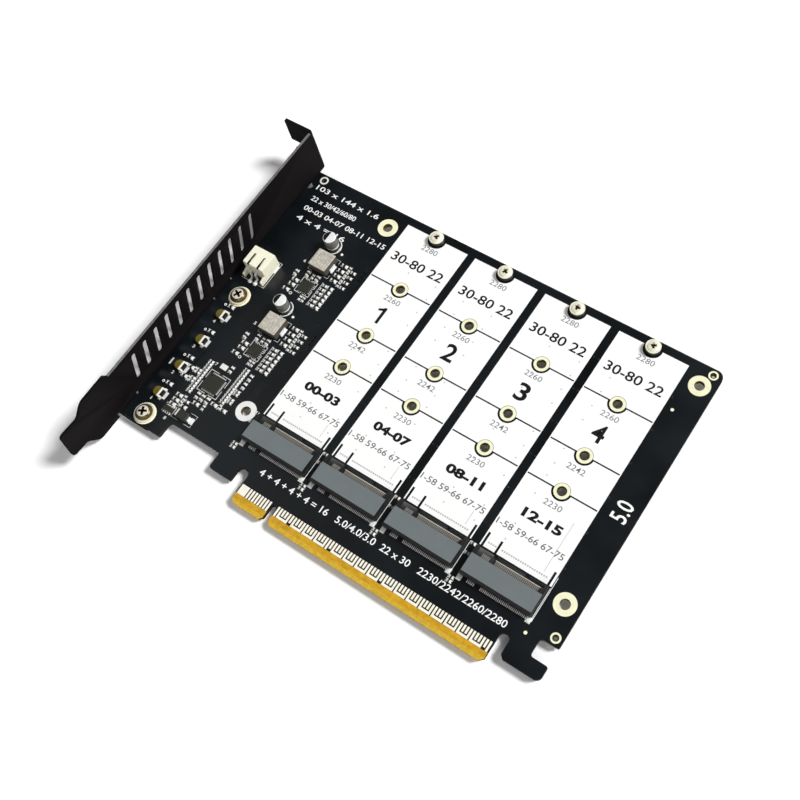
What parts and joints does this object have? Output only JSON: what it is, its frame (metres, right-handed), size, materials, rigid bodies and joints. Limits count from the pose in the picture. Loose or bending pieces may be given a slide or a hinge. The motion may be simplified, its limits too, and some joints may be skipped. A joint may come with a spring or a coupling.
{
  "type": "nvme adapter card",
  "caption": "Flat expansion card that carries solid-state drive modules side by side, with a vented slot bracket, drive sockets, regulators and a gold edge connector.",
  "frame": {"origin": "middle of the edge connector's key notch, at the tongue's lower edge, mid-plane of the board", "axes": "+X along the edge connector away from the bracket, +Y from the edge connector to the card's top edge, +Z out of the component side"},
  "size_m": [0.1565, 0.1207, 0.0193],
  "materials": {
    "board_black": "gloss solder mask over glass laminate",
    "contact_gold": "gold plate, bright",
    "bracket_black": "satin black coat on steel sheet",
    "screw_steel": "nickel plate, bright",
    "standoff_steel": "bright plated",
    "socket_black": "moulded, matte",
    "socket_grey": "satin grey",
    "solder_tin": "bright tin",
    "ferrite_grey": "pressed powder, matte",
    "can_silver": "bright pressed can",
    "base_black": "moulded, matte",
    "chip_black": "moulded, satin",
    "header_cream": "moulded, satin",
    "lens_amber": "clear tinted resin",
    "led_white": "moulded white",
    "ceramic_tan": "fired ceramic",
    "print_white": "matte printed ink"
  },
  "bodies": {
    "root": {"bracket": "bracket_black", "bracket_screws": "screw_steel", "capacitor_base_1": "base_black", "capacitor_base_2": "base_black", "capacitor_can_1": "can_silver", "capacitor_can_2": "can_silver", "circuit_board": "board_black", "clock_chip": "chip_black", "clock_crystal": "can_silver", "diode": "chip_black", "diode_leads": "solder_tin", "drive_screws": "screw_steel", "drive_socket_1": "socket_black", "drive_socket_2": "socket_black", "drive_socket_3": "socket_black", "drive_socket_4": "socket_black", "drive_standoffs": "standoff_steel", "edge_contacts_back": "contact_gold", "edge_contacts_front": "contact_gold", "fan_header": "header_cream", "fan_header_pins": "solder_tin", "inductor_1": "ferrite_grey", "inductor_2": "ferrite_grey", "inductor_terminals_1": "solder_tin", "inductor_terminals_2": "solder_tin", "regulator_chip_1": "chip_black", "regulator_chip_2": "chip_black", "small_chip": "chip_black", "small_parts": "ceramic_tan", "socket_contacts_1": "solder_tin", "socket_contacts_2": "solder_tin", "socket_contacts_3": "solder_tin", "socket_contacts_4": "solder_tin", "socket_cover_1": "socket_grey", "socket_cover_2": "socket_grey", "socket_cover_3": "socket_grey", "socket_cover_4": "socket_grey", "socket_tabs": "solder_tin", "status_led_bodies": "led_white", "status_led_lenses": "lens_amber"}
  },
  "joints": []
}
